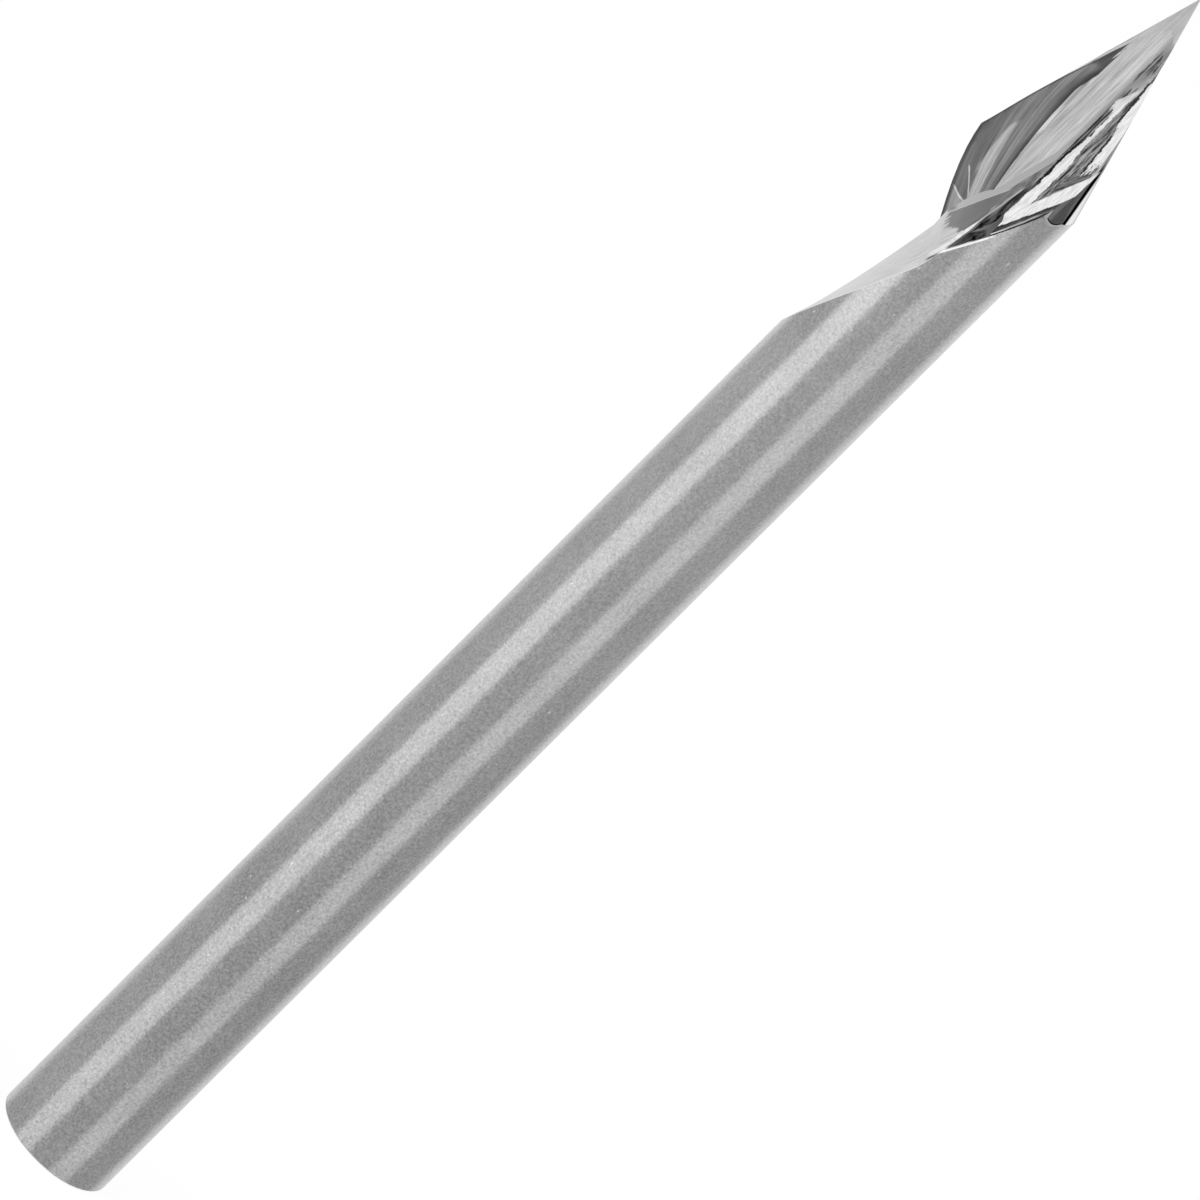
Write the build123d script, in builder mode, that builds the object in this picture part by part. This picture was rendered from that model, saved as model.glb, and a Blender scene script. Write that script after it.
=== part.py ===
# Single flute V groove router bit, ground from one solid carbide rod.
# It stands on its shank end: the tool axis is +Z, the origin is the middle of that end,
# and the point is at the top. All sizes are in millimetres, all angles in degrees.
# Across is +X, and the front is -Y. Angles round the axis are measured from the front towards +X.
# Levels of the cuts are measured down from the tip.
from build123d import *
import math
import os

os.makedirs("parts", exist_ok=True)

# The rod and its point
shank_diameter = 3.175
overall_length = 40.0
point_angle = 30.0
point_flat = 0.04
butt_chamfer = 0.05

# The helical flute, with a hooked rake face and a sloping heel face, as it lies at the shoulder.
# The hook is the deepest place of the rake face, measured from the cutting edge.
helix_angle = 28.0
flute_length = 8.74
edge_angle = -104.0
heel_angle = 38.3
hook_inward = 0.54
hook_depth = 0.276
rake_foot_across = 0.60
rake_foot_depth = 0.55
rake_end_across = 0.33
rake_end_depth = 0.33
web_across = 0.22
web_front = 0.25
heel_foot_across = 0.35
heel_foot_front = 0.50

# The straight gash down the point, a leaning floor with a side wall that turns in low down
gash_lead = 0.40
gash_slope = 0.1375
gash_lean = 0.25
gash_side = 0.27
gash_turn_level = 5.8
gash_turn_slope = 0.165

# The wall that ends the flute and runs out on the shank. It is given by its distance from the axis
# and the way it faces, where it starts, where it bends, at the flute's end and below the run-out.
wall_top_level = 4.6
wall_top_distance = -0.36
wall_top_facing = -67.0
wall_bend_level = 8.25
wall_bend_distance = 0.41
wall_bend_facing = -79.3
runout_distance = 0.455
runout_facing = -82.0
wall_foot_level = 13.4
wall_foot_distance = 1.844
wall_foot_facing = -101.0

# The flute passes in front of that wall, ahead of a leaning limit
pass_front = 0.05
pass_level = 6.0
pass_slope = 0.45

# The narrow flat ground on the shoulder behind the heel
flat_angle = 51.6
flat_lean = 0.75
flat_depth = 0.022

radius = shank_diameter / 2
side_slope = math.tan(math.radians(point_angle / 2))
point_height = (radius - point_flat / 2) / side_slope
helix_lead = math.pi * shank_diameter / math.tan(math.radians(helix_angle))
outside = 2 * shank_diameter


def height(below_tip):
    """The height above the shank end of a level given by its distance below the tip."""
    return overall_length - below_tip


def around(angle, distance):
    """The place at an angle round the axis and a distance from it."""
    return (distance * math.sin(math.radians(angle)), -distance * math.cos(math.radians(angle)))


# The blank, a rod with a conical point
with BuildPart() as blank:
    with BuildSketch(Plane.XZ):
        with BuildLine():
            Polyline(
                (0, 0),
                (radius - butt_chamfer, 0),
                (radius, butt_chamfer),
                (radius, height(point_height)),
                (point_flat / 2, overall_length),
                (0, overall_length),
                close=True,
            )
        make_face()
    revolve(axis=Axis.Z)

# The side of the wall that stays solid, which limits every straight cut
wall_places = (
    (wall_top_level, wall_top_distance, wall_top_facing),
    (wall_bend_level, wall_bend_distance, wall_bend_facing),
    (flute_length, runout_distance, runout_facing),
    (wall_foot_level, wall_foot_distance, wall_foot_facing),
)
with BuildPart() as wall_side:
    for level, distance, facing in wall_places:
        middle = around(facing, distance - outside / 2)
        with BuildSketch(Plane.XY.offset(height(level))):
            with Locations(Location((*middle, 0), facing)):
                Rectangle(2 * outside, outside)
    loft(ruled=True)

# The part of it that stops the flute
with BuildPart() as flute_stop:
    add(wall_side.part)
    split(bisect_by=Plane((0, -pass_front, height(pass_level)), z_dir=(0, 1, -pass_slope)))

# The helical flute, one profile carried up a helix and past the tip.
# The profile starts turned back at the flute's lower end, so that it comes round at the shoulder.
flute_turn = 360 * (flute_length - point_height) / helix_lead
flute_start = Plane.XY.offset(height(flute_length))
flute_travel = flute_length + outside / 4
with BuildPart() as flute:
    with BuildLine():
        axis_line = Line((0, 0, height(flute_length)), (0, 0, height(flute_length) + flute_travel))
    with BuildLine(mode=Mode.PRIVATE):
        turning = Helix(helix_lead, flute_travel, radius, center=(0, 0, height(flute_length)))
    with BuildSketch(flute_start.rotated((0, 0, -flute_turn))):
        with BuildLine():
            edge = around(edge_angle, radius)
            heel = around(heel_angle, radius)
            hook = (edge[0] + hook_inward, edge[1] + hook_depth)
            rake_foot = (-rake_foot_across, rake_foot_depth)
            rake_end = (-rake_end_across, rake_end_depth)
            Spline(edge, hook, rake_foot, rake_end)
            Polyline(
                rake_end,
                (-web_across, -web_front),
                (heel_foot_across, -heel_foot_front),
                heel,
                around(heel_angle, outside),
                around((heel_angle + edge_angle) / 2, 1.5 * outside),
                around(edge_angle, outside),
                edge,
            )
        make_face()
    sweep(path=axis_line, binormal=turning)
    add(flute_stop.part, mode=Mode.SUBTRACT)

# The gash, everything in front of its leaning floor and left of its side wall
with BuildPart() as gash:
    with BuildSketch(Plane((0, -gash_lead, overall_length), z_dir=(gash_lean, -1, -gash_slope))):
        Rectangle(4 * outside, 4 * outside)
    extrude(amount=outside)
    split(bisect_by=Plane((gash_side, 0, 0), z_dir=(-1, 0, 0)))
    split(bisect_by=Plane((gash_side, 0, height(gash_turn_level)), z_dir=(-1, 0, gash_turn_slope)))
    split(bisect_by=flute_start)
    add(wall_side.part, mode=Mode.SUBTRACT)

# The run-out, everything outside the wall below the flute
with BuildPart() as runout:
    with BuildSketch(flute_start):
        Rectangle(outside, outside)
    extrude(amount=flute_length - wall_foot_level)
    add(wall_side.part, mode=Mode.SUBTRACT)

# The flat on the shoulder
with BuildPart() as shoulder_flat:
    flat_slope = math.tan(math.radians(point_angle / 2 - flat_lean))
    flat_middle = (*around(flat_angle, radius - flat_depth), height(point_height))
    with BuildSketch(Plane(flat_middle, z_dir=(*around(flat_angle, 1), flat_slope))):
        Rectangle(2 * outside, 2 * outside)
    extrude(amount=outside)

# The finished bit
with BuildPart() as router_bit:
    add(blank.part)
    add(flute.part, mode=Mode.SUBTRACT)
    add(gash.part, mode=Mode.SUBTRACT)
    add(runout.part, mode=Mode.SUBTRACT)
    add(shoulder_flat.part, mode=Mode.SUBTRACT)

router_bit.part.label = "router_bit"
export_step(router_bit.part, "parts/router_bit.step")
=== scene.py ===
import math

import bpy
from mathutils import Matrix

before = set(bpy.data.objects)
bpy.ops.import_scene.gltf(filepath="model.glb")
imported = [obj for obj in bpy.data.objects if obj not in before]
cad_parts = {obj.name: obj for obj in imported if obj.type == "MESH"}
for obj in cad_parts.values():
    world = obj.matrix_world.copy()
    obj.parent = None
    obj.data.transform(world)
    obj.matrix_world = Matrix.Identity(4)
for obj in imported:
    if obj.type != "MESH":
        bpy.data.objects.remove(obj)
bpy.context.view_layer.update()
scene = bpy.context.scene
print("frame loaded:", ", ".join(sorted(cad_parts)))


def grey(shade):  # a grey written 0 to 255 as it is seen, made linear
    level = shade / 255.0
    level = level / 12.92 if level < 0.04045 else ((level + 0.055) / 1.055) ** 2.4
    return (level, level, level, 1.0)


class Nodes:  # short ways to write shader nodes
    def __init__(self, tree):
        self.tree = tree
        self.tree.nodes.clear()

    def add(self, kind, inputs=(), out=0, **settings):
        node = self.tree.nodes.new(kind)
        for name, value in settings.items():
            setattr(node, name, value)
        for socket, value in inputs:
            if isinstance(value, bpy.types.NodeSocket):
                self.tree.links.new(value, node.inputs[socket])
            else:
                node.inputs[socket].default_value = value
        return node.outputs[out] if len(node.outputs) else node

    def math(self, operation, *values):
        return self.add("ShaderNodeMath", enumerate(values), operation=operation)

    def plus(self, a, b):
        return self.math("ADD", a, b)

    def minus(self, a, b):
        return self.math("SUBTRACT", a, b)

    def times(self, a, b):
        return self.math("MULTIPLY", a, b)

    def line(self, value, slope, start):  # slope times the value, plus start
        return self.math("MULTIPLY_ADD", value, slope, start)

    def past(self, value, start):  # how far the value is over the start, and 0 below it
        return self.math("MAXIMUM", self.minus(value, start), 0.0)

    def short(self, value, end):  # how far the value is under the end, and 0 above it
        return self.math("MAXIMUM", self.minus(end, value), 0.0)

    def vector(self, operation, *values, out=0):
        return self.add("ShaderNodeVectorMath", enumerate(values), out=out, operation=operation)

    def dot(self, a, b):
        return self.vector("DOT_PRODUCT", a, b, out=1)

    def parts(self, value):  # the three numbers of a vector
        return self.add("ShaderNodeSeparateXYZ", ((0, value),)).node.outputs

    def pair(self, a, b):
        return self.add("ShaderNodeCombineXYZ", ((0, a), (1, b)))

    def less(self, value, limit):
        return self.math("LESS_THAN", value, limit)

    def more(self, value, limit):
        return self.math("GREATER_THAN", value, limit)

    def under(self, value, limit, soft=0.03):  # 1 below the limit, 0 above it
        gap = self.minus(value, limit)
        return self.add("ShaderNodeMapRange", ((0, gap), (1, -soft), (2, soft), (3, 1.0), (4, 0.0)),
                        interpolation_type="SMOOTHSTEP")

    def over(self, value, limit, soft=0.03):
        return self.outside(self.under(value, limit, soft))

    def near(self, value, middle, half, soft):  # 1 within half of the middle
        return self.under(self.math("ABSOLUTE", self.minus(value, middle)), half, soft)

    def outside(self, mask):
        return self.minus(1.0, mask)

    def both(self, *masks):
        made = masks[0]
        for mask in masks[1:]:
            made = self.times(made, mask)
        return made

    def either(self, *masks):
        made = masks[0]
        for mask in masks[1:]:
            made = self.math("MAXIMUM", made, mask)
        return made

    def spread(self, value, low, high):  # 0 up to low, 1 from high
        return self.add("ShaderNodeMapRange", ((0, value), (1, low), (2, high)))

    def blend(self, amount, a, b):  # plain numbers
        return self.add("ShaderNodeMix", ((0, amount), (2, a), (3, b)), data_type="FLOAT")

    def mix(self, amount, a, b):  # colours, or greys written 0 to 255
        a, b = (tone if isinstance(tone, bpy.types.NodeSocket) else grey(tone) for tone in (a, b))
        return self.add("ShaderNodeMix", ((0, amount), (6, a), (7, b)), out=2, data_type="RGBA")

    def layers(self, tone, *pairs):  # each mask lays its own tone over those before it
        for mask, above in pairs:
            tone = self.mix(mask, tone, above)
        return tone

    def scaled(self, tone, amount):
        return self.add("ShaderNodeVectorMath", ((0, tone), ("Scale", amount)), operation="SCALE")

    def ramp(self, value, stops):  # greys along a value, from the first stop to the last
        first, last = stops[0][0], stops[-1][0]
        made = self.add("ShaderNodeValToRGB", ((0, self.spread(value, first, last)),))
        points = made.node.color_ramp.elements
        while len(points) < len(stops):
            points.new(0.5)
        for point, (where, shade) in zip(points, stops):
            point.position = (where - first) / (last - first)
        for point, (where, shade) in zip(points, stops):
            point.color = grey(shade)
        return made

    def noise(self, place, scale, detail=2.0, roughness=0.5, size=(1.0, 1.0, 1.0)):
        return self.add("ShaderNodeTexNoise", ((0, self.vector("MULTIPLY", place, size)), ("Scale", scale),
                                               ("Detail", detail), ("Roughness", roughness)))

    def shake(self, value, noise, reach):  # the value, pushed up or down by up to half of reach
        return self.plus(value, self.times(self.minus(noise, 0.5), reach))


# The bit's own sizes in millimetres, as it was ground, so that each ground face can be told from the others.
# Levels are measured down from the tip. A plane is its direction, its reach and how near a point has to be.
bitSizes = {
    "length": 40.0,
    "radius": 1.5875,
    "shoulder": 5.85,
    "cone": (0.267949, 0.02),                       # what its radius gains in a millimetre, and has at the tip
    "twist": 0.33493,                               # of the helix, radians for each millimetre
    "heelLine": ((-0.7620, -0.6476, 0.0), 0.0571),
    "gashPlane": ((-0.25, 1.0, 0.1375), 5.1, 0.006),
    "flatPlane": ((0.7837, -0.6211, 0.25397), 10.2386, 0.004),
    "passPlane": ((0.0, 1.0, -0.45), -15.35, 0.006),
    "faces": 0.99,                                  # how closely a face has to look the plane's way
    "outward": 0.8,                                 # how closely the cone and the rod look away from the axis
    "skin": 0.1,                                    # how deep below the outline their facets may lie
    "tipEnd": 0.01,
    "buttEnd": 0.06,
    "runoutTop": 8.5,                               # below this level, the rod is only where a face is this upright
    "runoutUpright": 0.14,
    "wallFaces": -0.86,
    "wallTop": 3.9,
    "sideTurn": 5.8,                                # the gash's side wall, which turns in below this level
    "side": (-0.25, 0.255, 0.005),
}

# noise for ragged edges and grinding streaks: scale, detail, roughness and how far each way it is squeezed
streaks = {
    "columns": (26.0, 3.0, 0.65, (1.0, 0.3, 0.05)),
    "alongHelix": (17.0, 5.0, 0.7, (1.0, 1.0, 0.025)),
    "alongAxis": (17.0, 5.0, 0.7, (1.0, 0.3, 0.025)),
    "sideways": (7.0, 5.0, 0.75, (1.0, 0.5, 0.6)),
    "grain": (15.0, 4.0, 0.75),
    "raggedLevel": 1.7,
    "raggedX": 0.15,
    "slivers": (0.40, 0.58),
}


class Bit:  # a point on the bit in millimetres, which ground face it is on, and the streaks there
    def __init__(self, n):
        v = bitSizes
        self.place = n.vector("MULTIPLY", n.add("ShaderNodeTexCoord", out=3), (1000.0, 1000.0, 1000.0))
        self.normal = n.add("ShaderNodeNewGeometry", out=1)
        self.x, self.y, self.z = n.parts(self.place)
        self.level = n.minus(v["length"], self.z)
        self.front = n.less(self.y, 0.0)
        fromMiddle = n.vector("MULTIPLY", self.place, (1.0, 1.0, 0.0))
        self.outward = n.dot(self.normal, n.vector("NORMALIZE", fromMiddle))
        self.fromAxis = n.vector("LENGTH", fromMiddle, out=1)
        self.edgeRadius = n.math("MINIMUM", n.line(self.level, *v["cone"]), v["radius"])
        self.fromRim = n.minus(self.edgeRadius, self.fromAxis)
        self.findFlute(n)
        self.findFaces(n)
        self.findStreaks(n)

    def findFlute(self, n):  # the flute's own coordinates, turned back along the helix
        v = bitSizes
        turn = n.times(n.minus(self.level, v["shoulder"]), v["twist"])
        self.profile = n.add("ShaderNodeVectorRotate", (("Vector", self.place), ("Angle", turn)),
                             rotation_type="Z_AXIS")
        self.across = n.parts(self.profile)[0]      # from left to right in the flute
        direction, reach = v["heelLine"]
        self.fromHeel = n.minus(n.dot(self.profile, direction), reach)

    def inside(self, n, plane):  # how far inside a plane the point is
        direction, reach = plane[:2]
        return n.minus(reach, n.dot(self.place, direction))

    def onPlane(self, n, plane):  # on it, and facing the front as every cut does
        direction, reach, near = plane
        size = math.copysign(math.hypot(*direction), -direction[1])
        facing = n.dot(self.normal, tuple(part / size for part in direction))
        return n.both(n.math("COMPARE", n.dot(self.place, direction), reach, near),
                      n.more(facing, bitSizes["faces"]))

    def findFaces(self, n):
        v = bitSizes
        faceX, _, faceZ = n.parts(self.normal)
        self.onGash = self.onPlane(n, v["gashPlane"])
        self.onFlat = self.onPlane(n, v["flatPlane"])
        self.onPass = self.onPlane(n, v["passPlane"])
        onBlank = n.both(n.more(self.outward, v["outward"]),
                         n.more(n.minus(self.fromAxis, self.edgeRadius), -v["skin"]))
        self.onCone = n.either(n.both(onBlank, n.less(self.level, v["shoulder"])), n.less(self.level, v["tipEnd"]))
        upright = n.either(n.less(self.level, v["runoutTop"]), n.math("COMPARE", faceZ, 0.0, v["runoutUpright"]))
        self.onRod = n.either(n.both(onBlank, n.more(self.level, v["shoulder"]), upright),
                              n.less(self.z, v["buttEnd"]))
        self.onWall = n.both(n.less(faceX, v["wallFaces"]), n.over(self.level, v["wallTop"]))
        slope, start, soft = v["side"]
        sideEdge = n.line(n.past(self.level, v["sideTurn"]), slope, start)
        self.onSide = n.both(n.over(self.x, sideEdge, soft), n.outside(self.onWall))

    def findStreaks(self, n):
        v = streaks
        self.columns = n.noise(self.place, *v["columns"])
        self.alongHelix = n.noise(self.profile, *v["alongHelix"])
        self.alongAxis = n.noise(self.place, *v["alongAxis"])
        self.grain = n.noise(self.place, *v["grain"])
        self.ragged = n.shake(self.level, self.columns, v["raggedLevel"])
        self.raggedX = n.shake(self.x, n.noise(self.place, *v["sideways"]), v["raggedX"])
        self.slivers = n.spread(self.columns, *v["slivers"])


# In the looks below, a mask is its limit and how soft its edge is, an edge is its slope and its start, and tones
# are greys from 0 to 255. Many of these tones are painted reflection and painted shade, laid into the colour of the
# ground faces.

# the rod, ground between wheels: a fine even grain, a few bright specks, painted light that makes it a little
# lighter higher up, and two pale borders by the head: a painted highlight along the heel edge and a pale lip
rodLook = {
    "tones": (147, 228),
    "contrast": (0.25, 0.75),
    "cloud": (1.3, 2.0, 0.5, (1.0, 1.0, 0.4)),
    "cloudReach": 0.2,
    "pale": (17.0, 9.0),                            # the height above which painted light makes it a little lighter
    "paleShare": 0.14,
    "speck": (8.0, 0.0),
    "speckOver": (0.87, 0.01),
    "speckTone": 245,
    "heelHighlightUnder": (-0.005, 0.01),                    # a painted highlight along the heel edge, lighter and not metal
    "heelHighlightOver": (-0.055, 0.012),
    "heelHighlightReach": 0.6,
    "heelHighlightTop": (6.95, 0.15),
    "heelHighlightFoot": (8.5, 0.2),
    "heelHighlightTone": 242,
    "lipTop": (5.86, 0.01),                         # a pale lip under the shoulder flat
    "lipWide": (0.014, 0.006),
    "lipTone": 225,
}


def shadeRod(n, b):
    v = rodLook
    cloud = n.noise(b.place, *v["cloud"])
    tone = n.mix(n.spread(n.shake(b.grain, cloud, v["cloudReach"]), *v["contrast"]), *v["tones"])
    # painted light: the rod is a little lighter higher up
    tone = n.mix(n.over(b.z, *v["pale"]), tone, n.mix(v["paleShare"], tone, 255))
    specks = n.over(n.noise(b.place, *v["speck"]), *v["speckOver"])
    # a painted highlight: a bright line along the heel edge, which the material also makes not metal
    heelHighlight = n.both(n.under(b.fromHeel, *v["heelHighlightUnder"]), n.over(b.fromHeel, *v["heelHighlightOver"]),
                  n.over(n.shake(b.level, b.grain, v["heelHighlightReach"]), *v["heelHighlightTop"]),
                  n.under(b.level, *v["heelHighlightFoot"]), b.front, b.onRod)
    lip = n.both(n.under(b.inside(n, bitSizes["flatPlane"]), *v["lipWide"]), n.over(b.level, *v["lipTop"]))
    return n.layers(tone, (specks, v["speckTone"]), (heelHighlight, v["heelHighlightTone"]), (lip, v["lipTone"])), heelHighlight


# the rake face: streaks along the helix over bands of painted reflection and painted shade, a lighter patch low
# down, and a step where the wheel stopped
rakeLook = {
    "streaks": ((-1.62, 124), (-1.44, 134), (-1.30, 128), (-1.16, 138), (-1.00, 152), (-0.86, 158),
                (-0.72, 146), (-0.66, 166), (-0.57, 154), (-0.50, 136), (-0.46, 118), (-0.425, 92),
                (-0.40, 84), (-0.385, 212), (-0.34, 220)),   # bands of painted reflection and painted shade, by the place across the flute
    "streakReach": 0.07,
    "leanTop": 3.6,                                 # above this level the streaks lean in
    "lean": 0.11,
    "light": (2.1, -0.07),                          # about 1, more and less along the streaks
    "patchLeftTop": 7.4,
    "patchLeft": (0.16, -1.26),
    "patchRight": (-0.83, 0.03),
    "patchTop": (-2.4, 3.15),
    "patchTopSoft": 0.08,
    "patchReach": 0.5,
    "patchShare": 0.9,
    "patchTone": 208,
    "top": (2.75, 0.12),
    "topShare": 0.9,
    "topTone": 92,
    "stepBend": (-1.42, 0.12),
    "step": (-0.12, 7.745),
    "stepShare": 0.75,
    "stepTone": 190,
    "ledgeWide": (0.028, 0.015),
    "nick": (2.45, 10.28),
    "nickWide": (0.045, 0.03),
    "nickTop": (6.98, 0.03),
    "nickFoot": (7.55, 0.05),
    "lineTone": 236,
    "stepShadeTop": (6.9, 0.2),                          # painted shade in the corner above the step
    "stepShadeSoft": 0.02,
    "stepShadeRight": (-1.1, 0.05),
    "stepShadeTone": 134,
    "rimWide": (0.035, 0.02),
    "rimTone": 104,
}


def shadeRake(n, b):
    v = rakeLook
    at = n.minus(n.shake(b.across, b.alongHelix, v["streakReach"]),
                 n.times(n.short(b.level, v["leanTop"]), v["lean"]))
    patchLeft = n.line(n.short(b.level, v["patchLeftTop"]), *v["patchLeft"])
    patch = n.both(n.over(at, patchLeft), n.under(at, *v["patchRight"]),
                   n.over(n.shake(b.level, b.alongHelix, v["patchReach"]), n.line(b.across, *v["patchTop"]),
                          v["patchTopSoft"]))
    step = n.line(n.under(b.across, *v["stepBend"]), *v["step"])
    ledge = n.near(b.level, step, *v["ledgeWide"])
    nick = n.both(n.near(b.level, n.line(b.across, *v["nick"]), *v["nickWide"]),
                  n.over(b.level, *v["nickTop"]), n.under(b.level, *v["nickFoot"]))
    # painted shade: a darker corner above the step
    stepShade = n.both(n.over(b.level, *v["stepShadeTop"]), n.under(b.level, step, v["stepShadeSoft"]),
                  n.under(b.across, *v["stepShadeRight"]))
    # the bands of painted reflection and painted shade across the flute, with streaks along the helix
    tone = n.layers(n.ramp(at, v["streaks"]),
                    (n.times(patch, v["patchShare"]), v["patchTone"]),
                    (n.times(n.under(b.level, *v["top"]), v["topShare"]), v["topTone"]),
                    (n.times(n.over(b.level, step), v["stepShare"]), v["stepTone"]),
                    (stepShade, v["stepShadeTone"]),
                    (n.either(ledge, nick), v["lineTone"]),
                    (n.under(b.fromRim, *v["rimWide"]), v["rimTone"]))
    return n.scaled(tone, n.line(b.alongHelix, *v["light"]))


# the gash floor: fine streaks down the bit, a dark line of painted shade where it leaves the rake face, slivers on
# the right
gashLook = {
    "streaks": ((-0.80, 190), (-0.50, 200), (-0.44, 230), (-0.38, 222), (-0.30, 208), (-0.20, 222),
                (-0.12, 216), (0.0, 226), (0.08, 230), (0.15, 216), (0.22, 184), (0.30, 168)),
    "streakReach": 0.08,
    "light": (1.5, 0.25),
    "rakeEdge": (-0.21, -0.085),
    "rakeEdgeWide": (0.045, 0.02),
    "rakeEdgeFoot": (2.8, 0.1),
    "rakeEdgeTone": 128,
    "rakeTip": (-0.07, -0.30),                      # the dark tip of the rake face, which runs out on the floor
    "rakeTipSoft": 0.01,
    "rakeTipTop": (1.85, 0.1),
    "rakeTipFoot": (3.0, 0.1),
    "rakeTipTone": 96,
    "sliversLeft": (0.215, 0.012),
    "sliversTop": (1.35, 0.06),
    "sliversFoot": (2.3, 0.06),
    "sliverTones": (80, 180),
}


def shadeGash(n, b):
    v = gashLook
    # painted shade: a dark line where the floor leaves the rake face
    rakeEdge = n.both(n.near(b.x, n.line(b.level, *v["rakeEdge"]), *v["rakeEdgeWide"]),
                      n.under(b.level, *v["rakeEdgeFoot"]))
    rakeTip = n.both(n.under(b.x, n.line(b.level, *v["rakeTip"]), v["rakeTipSoft"]),
                     n.over(b.level, *v["rakeTipTop"]), n.under(b.level, *v["rakeTipFoot"]))
    slivers = n.both(n.over(b.raggedX, *v["sliversLeft"]), n.over(b.ragged, *v["sliversTop"]),
                     n.under(b.ragged, *v["sliversFoot"]))
    tone = n.layers(n.ramp(n.shake(b.x, b.alongAxis, v["streakReach"]), v["streaks"]),
                    (rakeEdge, v["rakeEdgeTone"]),
                    (rakeTip, v["rakeTipTone"]),
                    (slivers, n.mix(b.slivers, *v["sliverTones"])))
    return n.scaled(tone, n.line(b.alongAxis, *v["light"]))


# painted reflections on the heel: bright places in a slanting band, an upright strip left of it, and two more near
# the top
heelLook = {
    "dropReach": 0.14,
    "drop": (2.2, -7.5),                            # 0 about along the band's lower edge, and more below it
    "bandTop": (0.14, -1.09),
    "bandTopBend": 5.9,
    "bandBend": 0.12,
    "bandLow": (-0.9, 0.21),
    "bandLowTop": 5.15,
    "bandLowBend": 6.8,
    "bandSoft": 0.025,
    "bandLeft": (0.18, 0.03),
    "bandRight": (1.185, 0.01),
    "bandFoot": (7.3, 0.03),
    "stripLeft": 0.37,
    "stripLeftTop": (4.4, 0.35),
    "stripLeftBend": 5.6,
    "stripLeftLean": -0.06,
    "stripRight": 0.57,
    "stripRightTop": (4.5, 0.3),
    "stripNarrows": 0.06,
    "stripSoft": 0.01,
    "stripFootSoft": 0.03,
    "stripTop": (3.2, 0.06),
    "topLeftBend": 2.95,
    "topLeft": (0.42, 0.30),
    "topLeftRight": (0.52, 0.012),
    "topLeftTop": (2.3, 0.04),
    "topLeftFoot": (3.3, 0.04),
    "topSoft": 0.012,
    "topRightBend": 2.3,
    "topRight": (0.105, 0.575),
    "topRightStep": (3.6, 0.1),
    "topRightStepIn": 0.09,
    "topRightFootSlope": 2.2,
    "topRightFoot": (6.7, 0.04),
    "topRightTop": (2.1, 0.06),
    "whiteContrast": (0.3, 0.7),
    "whiteTones": (208, 253),
}


class Heel:
    def __init__(self, n, b):
        v = heelLook
        self.drop = n.plus(n.shake(b.level, b.alongAxis, v["dropReach"]), n.line(b.x, *v["drop"]))
        self.bandTop = n.plus(n.line(b.level, *v["bandTop"]),
                              n.times(n.past(b.level, v["bandTopBend"]), v["bandBend"]))
        self.bandLow = n.minus(n.line(n.short(b.level, v["bandLowTop"]), *v["bandLow"]),
                               n.times(n.past(b.level, v["bandLowBend"]), v["bandBend"]))
        self.band = n.both(n.over(self.drop, self.bandTop, v["bandSoft"]),
                           n.under(self.drop, self.bandLow, v["bandSoft"]),
                           n.over(b.x, *v["bandLeft"]), n.under(b.x, *v["bandRight"]),
                           n.under(b.level, *v["bandFoot"]), b.front)
        self.stripLeft = n.line(n.past(b.level, v["stripLeftBend"]), v["stripLeftLean"],
                                n.line(n.under(b.level, *v["stripLeftTop"]), v["stripNarrows"], v["stripLeft"]))
        stripRight = n.line(n.under(b.level, *v["stripRightTop"]), -v["stripNarrows"], v["stripRight"])
        strip = n.both(n.over(b.raggedX, self.stripLeft, v["stripSoft"]),
                       n.under(b.raggedX, stripRight, v["stripSoft"]),
                       n.under(self.drop, self.bandLow, v["stripFootSoft"]), n.over(b.ragged, *v["stripTop"]))
        topLeft = n.both(n.over(b.raggedX, n.line(n.short(b.level, v["topLeftBend"]), *v["topLeft"]), v["topSoft"]),
                         n.under(b.raggedX, *v["topLeftRight"]),
                         n.over(b.ragged, *v["topLeftTop"]), n.under(b.ragged, *v["topLeftFoot"]))
        self.topRightEdge = n.plus(n.line(n.past(b.level, v["topRightBend"]), *v["topRight"]),
                                   n.times(n.over(b.ragged, *v["topRightStep"]), v["topRightStepIn"]))
        topRight = n.both(n.over(b.raggedX, self.topRightEdge, v["topSoft"]),
                          n.under(n.plus(b.ragged, n.times(b.x, v["topRightFootSlope"])), *v["topRightFoot"]),
                          n.over(b.ragged, *v["topRightTop"]))
        # painted reflection: the bright places and the white laid on them
        self.bright = n.either(self.band, strip, topLeft, topRight)
        self.white = n.mix(n.spread(b.columns, *v["whiteContrast"]), *v["whiteTones"])


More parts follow.
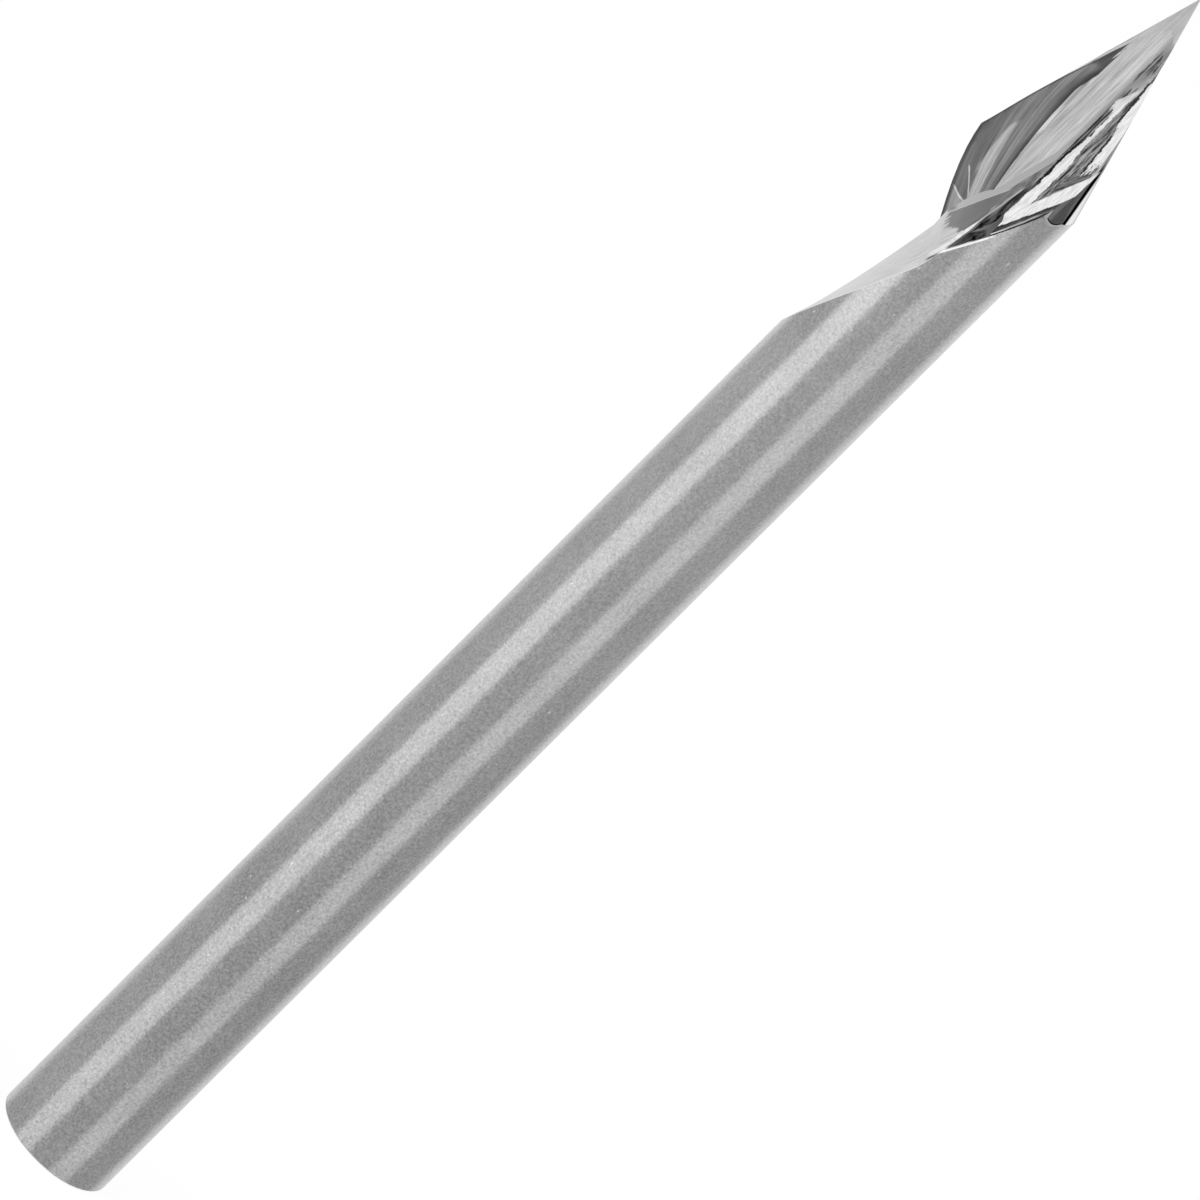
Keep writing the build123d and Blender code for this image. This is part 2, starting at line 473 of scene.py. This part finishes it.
# the heel and the side of the gash: bright and black slivers, strips of painted reflection, a light line of painted
# highlight inside the rim, and black lines of painted shade beside the bright places and along the rim
sideLook = {
    "contrast": (0.42, 0.6),
    "tones": (44, 172),
    "topFoot": (2.7, 0.08),
    "topTones": (52, 215),
    "topPale": (1.95, 0.06),
    "topPaleTone": 188,
    "divide": -0.02,                                # painted shade: a dark line left of the upper right bright place
    "divideWide": (0.03, 0.012),
    "divideTop": (2.1, 0.1),
    "divideTone": 50,
    "stripNoise": (12.0, 3.0, 0.7),                 # strips of painted reflection that run beside the band
    "stripAlong": 0.05,
    "stripContrast": (0.38, 0.62),
    "stripTones": (40, 150),
    "stripDarkTones": (16, 80),
    "gapTop": (-0.80, 0.02),                        # the gap between the band and the upper right place
    "gapFootSoft": 0.02,
    "gapLeft": (0.74, 0.03),
    "belowSoft": 0.03,
    "belowTop": (4.9, 0.1),
    "belowEdge": 0.14,
    "belowEdgeSoft": 0.05,
    "belowDark": (6.8, 0.15),
    "corner": 0.028,                                # painted shade: a black line left of the upright strip
    "cornerWide": (0.03, 0.012),
    "cornerTop": (4.0, 0.3),
    "cornerFootSoft": 0.02,
    "lineTone": 30,
    "rimWide": (0.05, 0.015),
    "rimTop": (5.9, 0.1),
    "ringOuter": (0.13, 0.012),                     # a painted highlight: a light line just inside the rim
    "ringInner": (0.07, 0.012),
    "ringTop": (5.95, 0.1),
    "ringFoot": (7.2, 0.2),
    "ringPale": (6.7, 0.3),
    "ringTones": (170, 240),
}


def shadeSide(n, b, heel):
    v = sideLook
    below = n.both(n.over(heel.drop, heel.bandLow, v["belowSoft"]), n.over(b.level, *v["belowTop"]))
    parallel = n.noise(n.pair(heel.drop, n.times(b.level, v["stripAlong"])), *v["stripNoise"])
    strips = n.spread(parallel, *v["stripContrast"])
    stripTone = n.mix(strips, *v["stripTones"])
    gap = n.both(n.over(heel.drop, *v["gapTop"]), n.under(heel.drop, heel.bandTop, v["gapFootSoft"]),
                 n.over(b.x, *v["gapLeft"]))
    corner = n.both(n.near(b.raggedX, n.minus(heel.stripLeft, v["corner"]), *v["cornerWide"]),
                    n.over(b.ragged, *v["cornerTop"]), n.under(heel.drop, heel.bandLow, v["cornerFootSoft"]))
    divide = n.both(n.near(b.raggedX, n.plus(heel.topRightEdge, v["divide"]), *v["divideWide"]),
                    n.over(b.ragged, *v["divideTop"]))
    topTone = n.layers(n.mix(b.slivers, *v["topTones"]), (n.over(b.ragged, *v["topPale"]), v["topPaleTone"]))
    belowPlain = n.either(n.under(heel.drop, n.plus(heel.bandLow, v["belowEdge"]), v["belowEdgeSoft"]),
                          n.over(b.level, *v["belowDark"]))
    belowTone = n.mix(belowPlain, stripTone, n.mix(strips, *v["stripDarkTones"]))
    # painted shade: a black line along the rim
    rim = n.both(n.under(b.fromRim, *v["rimWide"]), n.over(b.level, *v["rimTop"]))
    ring = n.both(n.under(b.fromRim, *v["ringOuter"]), n.over(b.fromRim, *v["ringInner"]),
                  n.over(b.level, *v["ringTop"]), n.under(b.level, *v["ringFoot"]))
    tone = n.layers(n.mix(n.spread(b.alongAxis, *v["contrast"]), *v["tones"]),
                    (n.under(b.ragged, *v["topFoot"]), topTone),
                    (divide, v["divideTone"]),
                    (gap, stripTone),
                    (below, belowTone),
                    (corner, v["lineTone"]),
                    (heel.bright, heel.white),
                    (rim, v["lineTone"]),
                    (ring, n.mix(n.over(b.level, *v["ringPale"]), *v["ringTones"])))
    return tone, below


# the wall: dark with painted shade above a ragged edge, light below it with streaks that fan out from its foot, and
# painted highlights along its borders and rim
wallLook = {
    "streaks": (24.0, 5.0, 0.7, (1.0, 1.0, 0.05)),
    "darkTones": (20, 86),
    "teeth": (6.0, 4.0, 0.75, (1.0, 1.0, 0.12)),
    "teethReach": 0.9,
    "edgeAcross": 0.37,
    "edge": (1.9, 7.45),
    "edgeSoft": 0.02,
    "fanFoot": (0.276, 12.9),
    "fanSqueeze": (9.0, 0.12),
    "fanNoise": (9.0, 5.0, 0.7),
    "fanContrast": (0.3, 0.7),
    "fanTones": (150, 232),
    "topFoot": (6.4, 0.5),
    "topContrast": (0.4, 0.6),
    "topTones": (50, 140),
    "floorReach": 0.5,                              # a painted highlight: a lighter border by the gash floor and the rake face
    "floorWide": (0.25, 0.03),
    "floorFoot": (6.3, 0.1),
    "floorTone": 170,
    "rakeSide": (2.05, 6.40),
    "rakeSideBend": -0.49,
    "rakeSideSoft": 0.02,
    "rakeSideFront": (0.0, 0.03),
    "rakeSideFoot": (7.95, 0.1),
    "lineBelow": 0.03,                              # a light line of painted highlight below that border
    "lineWide": (0.045, 0.02),
    "lineFoot": (8.1, 0.1),
    "lineFront": (-0.05, 0.03),
    "lineTone": 182,
    # a painted highlight along the rim, in front
    "rimWide": (0.07, 0.02),
    "rimTop": (8.0, 0.1),
    "rimTone": 235,
    "passTones": (112, 206),                        # of the place where the flute passes in front
}


def shadeWall(n, b):
    v = wallLook
    edgeLevel = n.line(n.math("MINIMUM", b.fromHeel, v["edgeAcross"]), *v["edge"])
    low = n.over(n.shake(b.level, n.noise(b.place, *v["teeth"]), v["teethReach"]), edgeLevel, v["edgeSoft"])
    footY, footLevel = v["fanFoot"]
    squeezeAcross, squeezeAlong = v["fanSqueeze"]
    fan = n.math("DIVIDE", n.minus(b.y, footY), n.minus(footLevel, b.level))
    fanPlace = n.pair(n.times(fan, squeezeAcross), n.times(b.level, squeezeAlong))
    fanStreaks = n.spread(n.noise(fanPlace, *v["fanNoise"]), *v["fanContrast"])
    rakeSide = n.plus(n.line(b.y, *v["rakeSide"]), n.times(n.times(b.y, b.y), v["rakeSideBend"]))
    byFloor = n.both(n.under(n.shake(b.inside(n, bitSizes["gashPlane"]), b.columns, v["floorReach"]),
                             *v["floorWide"]), n.under(b.level, *v["floorFoot"]))
    byRake = n.both(n.under(b.level, rakeSide, v["rakeSideSoft"]), n.over(b.y, *v["rakeSideFront"]),
                    n.under(b.level, *v["rakeSideFoot"]))
    lightLine = n.both(n.near(b.level, n.plus(rakeSide, v["lineBelow"]), *v["lineWide"]),
                       n.under(b.level, *v["lineFoot"]), n.over(b.y, *v["lineFront"]))
    rim = n.both(n.under(n.minus(bitSizes["radius"], b.fromAxis), *v["rimWide"]), n.over(b.level, *v["rimTop"]),
                 b.front)
    # painted shade above the ragged edge
    darkTone = n.mix(n.noise(b.place, *v["streaks"]), *v["darkTones"])
    tone = n.layers(n.mix(low, darkTone, n.mix(fanStreaks, *v["fanTones"])),
                    (n.under(b.level, *v["topFoot"]),
                     n.mix(n.spread(b.alongAxis, *v["topContrast"]), *v["topTones"])),
                    (n.either(byFloor, byRake), v["floorTone"]),
                    (lightLine, v["lineTone"]),
                    (rim, v["rimTone"]))
    return tone, n.mix(low, *v["passTones"]), fanStreaks


# the dark wedge of painted shade between the run-out and the shank, right of one thin bright line of painted
# highlight
wedgeLook = {
    "line": (0.155, -1.138),
    "lineBend": 8.0,
    "lineBendBy": 0.15,
    "front": -0.2,
    "foot": (8.5, 0.1),
    "lineSide": (0.025, 0.01),
    "rimSide": (0.07, 0.02),
    "lowTop": (7.1, 0.05),
    "lowSoft": 0.02,
    "highTop": (5.7, 0.2),
    "highRight": 0.01,
    "highRightSoft": 0.01,
    "highFootSoft": 0.02,
    "contrast": (0.4, 0.6),
    "tones": (40, 118),
    "lineWidens": (7.4, 0.15),
    "lineWide": (0.022, 0.016),
    "lineSoft": 0.01,
    "lineTop": (6.0, 0.1),
    "lineBrightens": (7.25, 0.15),
    "lineTone": 176,
    "lineBrightTones": (214, 250),
}


def shadeWedge(n, b, heel, fanStreaks):
    v = wedgeLook
    bend = n.times(n.past(b.level, v["lineBend"]), v["lineBendBy"])
    fromLine = n.plus(n.plus(b.x, n.line(b.level, *v["line"])), bend)
    inFront = n.both(n.less(b.y, v["front"]), n.under(b.level, *v["foot"]))
    low = n.both(n.over(b.level, *v["lowTop"]), n.over(heel.drop, heel.bandLow, v["lowSoft"]))
    high = n.both(n.over(b.level, *v["highTop"]),
                  n.under(b.raggedX, n.minus(heel.stripLeft, v["highRight"]), v["highRightSoft"]),
                  n.under(heel.drop, heel.bandTop, v["highFootSoft"]))
    # painted shade: the dark wedge
    wedge = n.both(n.over(fromLine, *v["lineSide"]), n.over(b.fromRim, *v["rimSide"]), inFront,
                   n.either(low, high))
    wedgeTone = n.mix(n.spread(b.alongAxis, *v["contrast"]), *v["tones"])
    # a painted highlight: the thin bright line
    lineWide = n.line(n.over(b.level, *v["lineWidens"]), *v["lineWide"])
    thinLine = n.both(n.near(fromLine, 0.0, lineWide, v["lineSoft"]), inFront, n.over(b.level, *v["lineTop"]))
    lineTone = n.mix(n.over(b.level, *v["lineBrightens"]), v["lineTone"],
                     n.mix(fanStreaks, *v["lineBrightTones"]))
    return wedge, wedgeTone, thinLine, lineTone


# the cone and the flat on its shoulder, with the black line of painted shade and the light strip of painted
# highlight that run along the flat, and a thin dark outline of painted shade on the right
coneLook = {
    "grain": (20.0, 3.0, 0.6, (1.0, 1.0, 0.3)),
    "contrast": (0.3, 0.7),
    "tones": (160, 186),
    "tip": (2.6, 0.2),
    "tipTones": (146, 214),
    "line": (0.184, 0.36),
    "lineWide": (0.03, 0.015),
    "lineTop": (4.3, 0.2),
    "lineTone": 30,
    "right": (-0.15, 0.1),                          # what lies in front of this is beside the flat
    # painted shade on the cone beside the flat
    "darkLeft": (1.16, 0.015),
    "darkRight": (0.0, 0.03),
    "darkTone": 72,
    "stripLeft": (0.03, 0.012),
    "stripRight": (0.16, 0.06),
    "stripTop": (3.0, 0.5),
    "stripTone": 236,
    "outlineFront": (-0.32, 0.05),                  # painted shade: a thin dark outline on the right, above the flat
    "outlineBack": (0.0, 0.05),
    "outlineLeft": (0.0, 0.03),
    "outlineTop": (3.0, 0.3),
    "outlineFoot": (4.5, 0.1),
    "outlineTone": 70,
    "flatMiddle": (1.15, 0.02),
    "flatLeftTones": (70, 130),
    "flatRightTones": (50, 96),
    "flatStripTones": (150, 236),
    "flatLineTone": 24,
    "flatEndWide": (0.009, 0.004),
    "flatEndTop": (5.84, 0.02),
    "flatEndTone": 30,
}


def shadeCone(n, b, heel):
    v = coneLook
    grain = n.noise(b.place, *v["grain"])
    beside = n.minus(b.x, n.line(b.level, *v["line"]))      # right of the flat's black right edge
    lineHere = n.near(beside, 0.0, *v["lineWide"])
    stripStart, stripEnd = n.over(beside, *v["stripLeft"]), n.under(beside, *v["stripRight"])
    right = n.under(b.y, *v["right"])
    atFlat = n.both(n.over(b.level, *v["lineTop"]), right)
    dark = n.both(n.over(b.x, *v["darkLeft"]), n.under(beside, *v["darkRight"]), atFlat)
    darkLine = n.both(lineHere, atFlat)
    lightStrip = n.both(stripStart, stripEnd, right, n.over(b.level, *v["stripTop"]))
    outline = n.both(n.over(b.y, *v["outlineFront"]), n.under(b.y, *v["outlineBack"]),
                     n.over(b.x, *v["outlineLeft"]), n.over(b.level, *v["outlineTop"]),
                     n.under(b.level, *v["outlineFoot"]))
    coneTone = n.layers(n.mix(n.spread(grain, *v["contrast"]), *v["tones"]),
                        (n.under(b.level, *v["tip"]), n.mix(b.alongAxis, *v["tipTones"])),
                        (dark, v["darkTone"]),
                        (lightStrip, v["stripTone"]),
                        (darkLine, v["lineTone"]),
                        (outline, v["outlineTone"]),
                        (heel.band, heel.white))
    # painted shade: a black line where the flat ends at the rod
    flatEnd = n.both(n.under(n.minus(bitSizes["radius"], b.fromAxis), *v["flatEndWide"]),
                     n.over(b.level, *v["flatEndTop"]))
    flatTone = n.layers(n.mix(b.alongAxis, *v["flatLeftTones"]),
                        (n.over(b.x, *v["flatMiddle"]), n.mix(grain, *v["flatRightTones"])),
                        (stripStart, n.mix(stripEnd, *v["flatStripTones"])),
                        (lineHere, v["flatLineTone"]),
                        (flatEnd, v["flatEndTone"]),
                        (heel.band, heel.white))
    return coneTone, flatTone, n.either(darkLine, flatEnd)


# what all the ground faces share
carbide = {
    "faceRough": 0.16,
    "rodRough": (0.16, 0.22),
    "rodContrast": (0.3, 0.7),
    "bump": 0.07,
    "bumpDeep": 0.00001,
    "dimTop": (6.5, 0.2),
    "dimTint": 150,                                 # keeps the painted shade of the darkest places dark at a glancing angle
    "lineTint": 130,
}


def groundCarbide():
    v = carbide
    material = bpy.data.materials.new("groundCarbide")
    material.use_nodes = True
    n = Nodes(material.node_tree)
    b = Bit(n)
    rodTone, heelHighlight = shadeRod(n, b)
    rakeTone = shadeRake(n, b)
    gashTone = shadeGash(n, b)
    heel = Heel(n, b)
    sideTone, below = shadeSide(n, b, heel)
    wallTone, passTone, fanStreaks = shadeWall(n, b)
    wedge, wedgeTone, thinLine, lineTone = shadeWedge(n, b, heel, fanStreaks)
    coneTone, flatTone, blackLine = shadeCone(n, b, heel)
    tone = n.layers(rakeTone, (b.onWall, wallTone), (b.onSide, sideTone), (b.onPass, passTone),
                    (wedge, wedgeTone), (thinLine, lineTone), (b.onCone, coneTone), (b.onGash, gashTone),
                    (b.onRod, rodTone), (b.onFlat, flatTone))
    # where shade is painted, the edge tint is darker as well, so that it stays dark
    dim = n.both(n.either(wedge, n.both(below, b.onSide, n.over(b.level, *v["dimTop"]))), n.outside(b.onRod))
    edgeTint = n.layers(n.mix(dim, 255, v["dimTint"]),
                        (n.both(blackLine, n.either(b.onCone, b.onFlat)), v["lineTint"]))
    smooth, rough = v["rodRough"]
    rodRough = n.add("ShaderNodeMapRange", ((0, b.grain), (1, v["rodContrast"][0]), (2, v["rodContrast"][1]),
                                            (3, smooth), (4, rough)))
    height = n.blend(b.onRod, n.blend(b.onGash, b.alongHelix, b.alongAxis), b.grain)
    bump = n.add("ShaderNodeBump", (("Strength", v["bump"]), ("Distance", v["bumpDeep"]), ("Height", height)))
    # the painted highlight along the heel edge is not metal, so that it stays bright
    shader = n.add("ShaderNodeBsdfPrincipled", (
        ("Base Color", tone), ("Metallic", n.outside(heelHighlight)), ("Specular Tint", edgeTint), ("Normal", bump),
        ("Roughness", n.blend(b.onRod, v["faceRough"], rodRough))))
    n.add("ShaderNodeOutputMaterial", ((0, shader),))
    return material


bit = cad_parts["router_bit"]
for slot in bit.material_slots:
    slot.material = groundCarbide()
bit.visible_glossy = False      # the ground faces mirror the tent, not each other
print("carbide material on the bit")

# the white paper that the bit stands on, in metres
floorLook = {"reach": 0.6, "level": -0.00002, "paper": 245, "glow": 1.02, "shade": 0.1}


def makeFloor():
    v = floorLook
    mesh = bpy.data.meshes.new("floor")
    reach, level = v["reach"], v["level"]
    mesh.from_pydata([(-reach, -reach, level), (reach, -reach, level), (reach, reach, level),
                      (-reach, reach, level)], [], [(0, 1, 2, 3)])
    material = bpy.data.materials.new("paperFloor")
    material.use_nodes = True
    n = Nodes(material.node_tree)
    rays = n.add("ShaderNodeLightPath").node.outputs
    shown = n.either(rays["Is Camera Ray"], rays["Is Glossy Ray"], rays["Is Transmission Ray"])
    paper = n.add("ShaderNodeBsdfDiffuse", ((0, grey(v["paper"])),))
    glow = n.add("ShaderNodeEmission", ((0, grey(255)), (1, v["glow"])))
    look = n.add("ShaderNodeMixShader", ((0, n.times(shown, 1.0 - v["shade"])), (1, paper), (2, glow)))
    n.add("ShaderNodeOutputMaterial", ((0, look),))
    mesh.materials.append(material)
    floor = bpy.data.objects.new("floor", mesh)
    scene.collection.objects.link(floor)
    floor.visible_glossy = False


makeFloor()

# the tent round the bit, as the metal sees it: pale strips between grey gaps. Each strip is its middle and half
# width in degrees round the bit, from the front towards the right, how bright it is and how soft its edges are
tent = {
    "gap": (-0.04, 0.525),            # a little darker on the right
    "strips": ((-40.7, 19.2, 1.04, 2.5), (46.7, 18.3, 0.82, 2.5), (180.0, 50.0, 0.86, 14.0)),
    "top": (-11.0, -6.0, 1.0),        # above these elevations the tent is even and white
    "bottom": (-36.0, -42.0, 0.72),   # below these it is even and a little darker
    "room": 0.62,                     # what lights everything but reflections
}


def makeTent():
    v = tent
    world = bpy.data.worlds.new("tent")
    scene.world = world
    world.use_nodes = True
    n = Nodes(world.node_tree)
    right, deep, up = n.parts(n.add("ShaderNodeTexCoord", out=0))
    around = n.math("ARCTAN2", right, n.times(deep, -1.0))
    level = n.line(n.math("SINE", around), *v["gap"])
    for middle, half, bright, soft in v["strips"]:
        turn = n.math("WRAP", n.minus(around, math.radians(middle)), math.pi, -math.pi)
        level = n.blend(n.near(turn, 0.0, math.radians(half), math.radians(soft)), level, bright)
    rise = n.math("ARCSINE", up)
    for start, end, bright in (v["top"], v["bottom"]):
        level = n.blend(n.spread(rise, math.radians(start), math.radians(end)), level, bright)
    rays = n.add("ShaderNodeLightPath").node.outputs
    level = n.blend(rays["Is Glossy Ray"], v["room"], level)
    level = n.blend(n.either(rays["Is Camera Ray"], rays["Is Transmission Ray"]), level, 1.0)
    back = n.add("ShaderNodeBackground", ((0, grey(255)), (1, level)))
    n.add("ShaderNodeOutputWorld", ((0, back),))


makeTent()

# two soft lamps from above, for the shadow and a little modelling
lamps = {
    "left": {"place": (-0.16, -0.14, 0.22), "size": 0.16, "power": 0.35},
    "right": {"place": (0.18, -0.10, 0.20), "size": 0.16, "power": 0.25},
    "aimHeight": 0.02,
}


def makeLamp(side):
    v = lamps[side]
    data = bpy.data.lights.new(side + "Lamp", "AREA")
    data.size, data.energy = v["size"], v["power"]
    lamp = bpy.data.objects.new(side + "Lamp", data)
    scene.collection.objects.link(lamp)
    lamp.location = v["place"]
    aim = lamp.location - Matrix.Translation((0.0, 0.0, lamps["aimHeight"])).translation
    lamp.rotation_euler = aim.to_track_quat("Z", "Y").to_euler()
    lamp.visible_glossy = False


makeLamp("left")
makeLamp("right")
print("floor, tent and lamps ready")

# the camera, at the photograph's viewing angle
camera = {
    "place": (0.0, -0.272917693, 0.120260484),
    "turns": (-0.0061269, 69.7343866, 45.0755357),    # pan, tilt and roll
    "lens": 375.29876,
    "sensor": 36.0,
    "clip": (0.01, 10.0),
}


def makeCamera():
    v = camera
    data = bpy.data.cameras.new("camera")
    data.lens, data.sensor_width = v["lens"], v["sensor"]
    data.clip_start, data.clip_end = v["clip"]
    eye = bpy.data.objects.new("camera", data)
    scene.collection.objects.link(eye)
    pan, tilt, roll = (math.radians(turn) for turn in v["turns"])
    turned = Matrix.Rotation(pan, 4, "Z") @ Matrix.Rotation(tilt, 4, "X") @ Matrix.Rotation(roll, 4, "Z")
    eye.matrix_world = Matrix.Translation(v["place"]) @ turned
    scene.camera = eye


makeCamera()

scene.view_settings.view_transform = "Standard"
